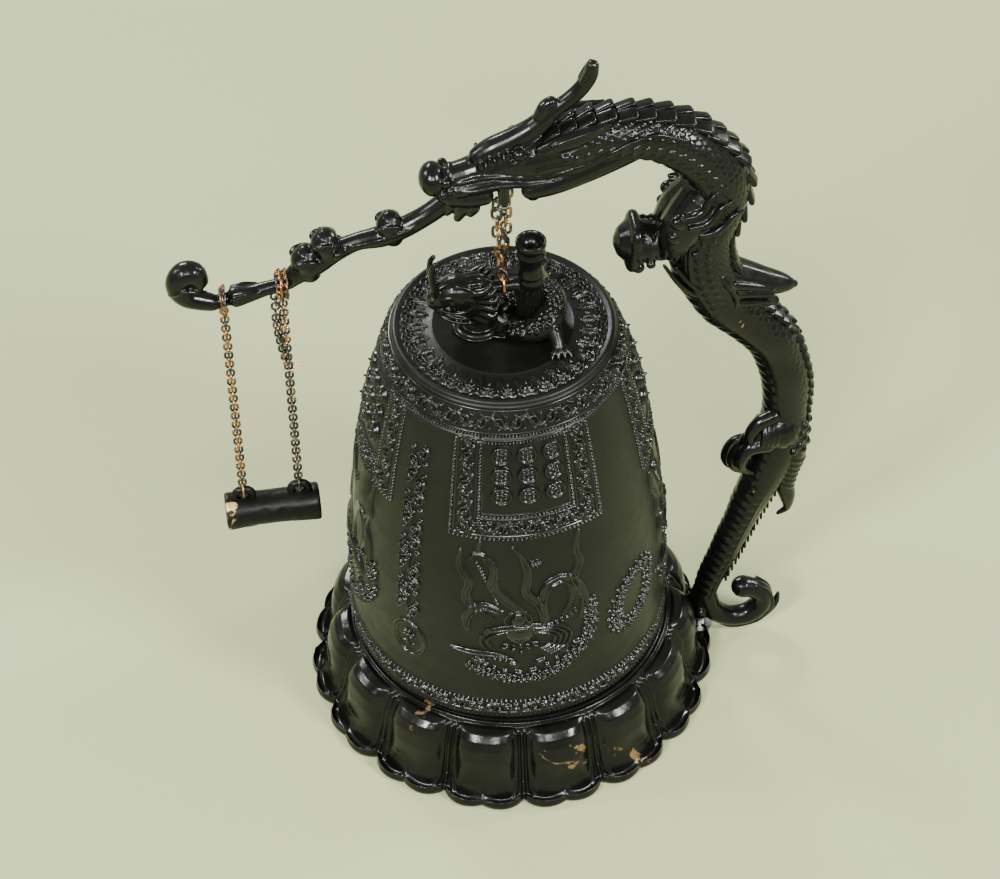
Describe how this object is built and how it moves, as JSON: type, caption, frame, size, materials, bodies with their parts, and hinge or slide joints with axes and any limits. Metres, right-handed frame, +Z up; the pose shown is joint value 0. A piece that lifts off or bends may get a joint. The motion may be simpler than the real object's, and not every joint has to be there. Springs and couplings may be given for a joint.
{
  "type": "temple bell",
  "caption": "Table-top temple bell on a dragon stand: a bronze bell hung by a chain from the dragon's mouth over a lotus base, with a striker log slung on two chains from a branch.",
  "frame": {"origin": "centre of the lotus base's underside, on the table", "axes": "+Z up; the dragon, branch and striker stand in the XZ plane, with the dragon's column towards +X and the branch and striker towards -X"},
  "size_m": [0.2323, 0.1592, 0.3032],
  "materials": {
    "black_casting": "glossy black lacquer over cast brass, rubbed to brass on edges",
    "bell_bronze": "satin black patina over cast bronze",
    "chain_brass": "copper coloured wire with worn black paint",
    "striker_brass": "glossy black lacquer, brass showing at the worn ends",
    "tie_wire": "bare thin wire",
    "steel": "zinc plated",
    "felt": "dark green felt"
  },
  "bodies": {
    "stand": {"lotus_base": "black_casting", "base_felt": "felt", "post_bolt": "steel", "post_washer": "steel", "dragon_post": "black_casting", "branch": "black_casting", "jaw_pin": "steel"},
    "hanger": {"bell_chain_top": "chain_brass"},
    "hanger_middle": {"bell_chain_middle": "chain_brass"},
    "hanger_low": {"bell_chain_low": "chain_brass"},
    "bell": {"bell_shell": "bell_bronze", "crown_dragon": "bell_bronze", "sound_tube": "bell_bronze", "crown_bolt": "steel", "crown_washer": "steel"},
    "twig_loops": {"twig_loop_left": "chain_brass", "twig_loop_right": "chain_brass"},
    "left_chain": {"striker_chain_left": "chain_brass"},
    "right_chain": {"striker_chain_right": "chain_brass", "wire_tie": "tie_wire"},
    "striker": {"striker_log": "striker_brass"}
  },
  "joints": [
    {"name": "bell_swing", "type": "hinge", "parent": "stand", "child": "hanger", "pos_m": [-0.001, 0, 0.252], "axis": [0, -1, 0], "range_deg": [-0.7, 0.7]},
    {"name": "bell_turn", "type": "hinge", "parent": "hanger", "child": "hanger_middle", "pos_m": [-0.001, 0, 0.23494], "axis": [0, 0, 1], "range_deg": [-10, 10]},
    {"name": "bell_turn_low", "type": "hinge", "parent": "hanger_middle", "child": "hanger_low", "pos_m": [-0.001, 0, 0.22264], "axis": [0, 0, 1], "range_deg": [-10, 10]},
    {"name": "bell_sway", "type": "hinge", "parent": "hanger_low", "child": "bell", "pos_m": [-0.001, 0, 0.20542], "axis": [1, 0, 0], "range_deg": [-0.7, 0.7]},
    {"name": "striker_sway", "type": "hinge", "parent": "stand", "child": "twig_loops", "pos_m": [-0.1005, 0, 0.2145], "axis": [0.9778, 0, 0.2095], "range_deg": [-35, 35]},
    {"name": "striker_swing", "type": "hinge", "parent": "twig_loops", "child": "left_chain", "pos_m": [-0.1005, 0, 0.21], "axis": [0, -1, 0], "range_deg": [-45, 7]},
    {"name": "striker_level", "type": "hinge", "parent": "left_chain", "child": "striker", "pos_m": [-0.1005, 0, 0.1124], "axis": [0, -1, 0], "range_deg": [-7, 45]},
    {"name": "right_chain_swing", "type": "hinge", "parent": "twig_loops", "child": "right_chain", "pos_m": [-0.0795, 0, 0.21], "axis": [0, -1, 0], "range_deg": [-45, 7]}
  ],
  "couplings": [
    {"joint": "striker_level", "follows": "striker_swing", "ratio": -1},
    {"joint": "right_chain_swing", "follows": "striker_swing", "ratio": 1}
  ]
}
